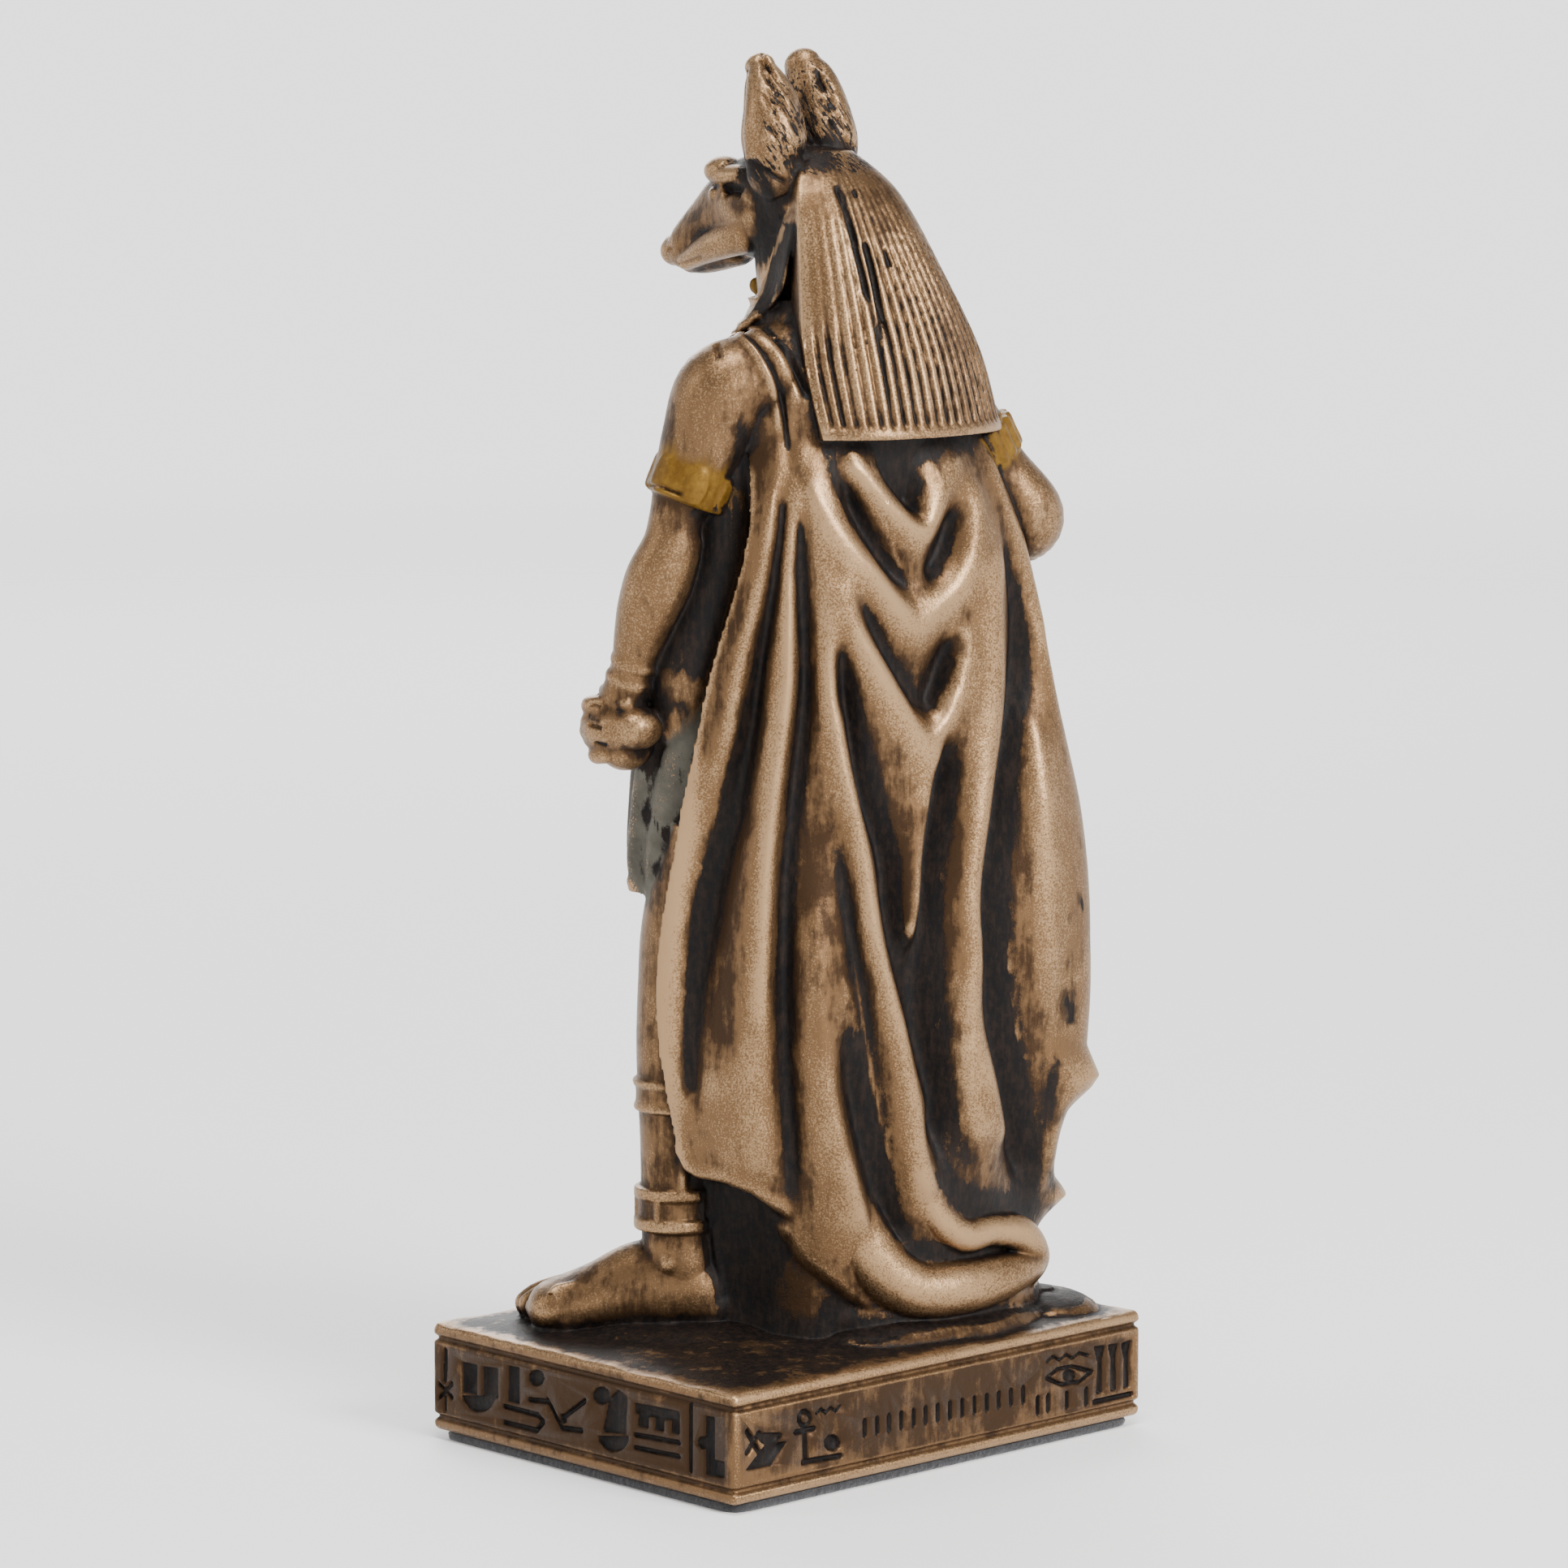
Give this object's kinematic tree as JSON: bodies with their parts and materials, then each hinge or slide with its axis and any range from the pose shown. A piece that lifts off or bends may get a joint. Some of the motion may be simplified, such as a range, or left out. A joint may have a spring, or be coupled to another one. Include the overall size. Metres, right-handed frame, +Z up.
{
  "type": "anubis standing statue",
  "caption": "Small standing jackal-headed figure in a long cape and ridged headdress, cast in one with its oblong plinth, on a thin felt pad.",
  "frame": {"origin": "centre of the underside of the felt pad", "axes": "+Z up; the figure faces -Y and its left side is +X, along the plinth's length"},
  "size_m": [0.036, 0.0286, 0.0889],
  "materials": {
    "bronze_resin": "cold-cast resin with a satin bronze face, dark wash in the recesses, gold and grey-green paint on trims",
    "felt": "thin black felt"
  },
  "bodies": {
    "root": {"anubis_casting": "bronze_resin", "felt_pad": "felt"}
  },
  "joints": []
}
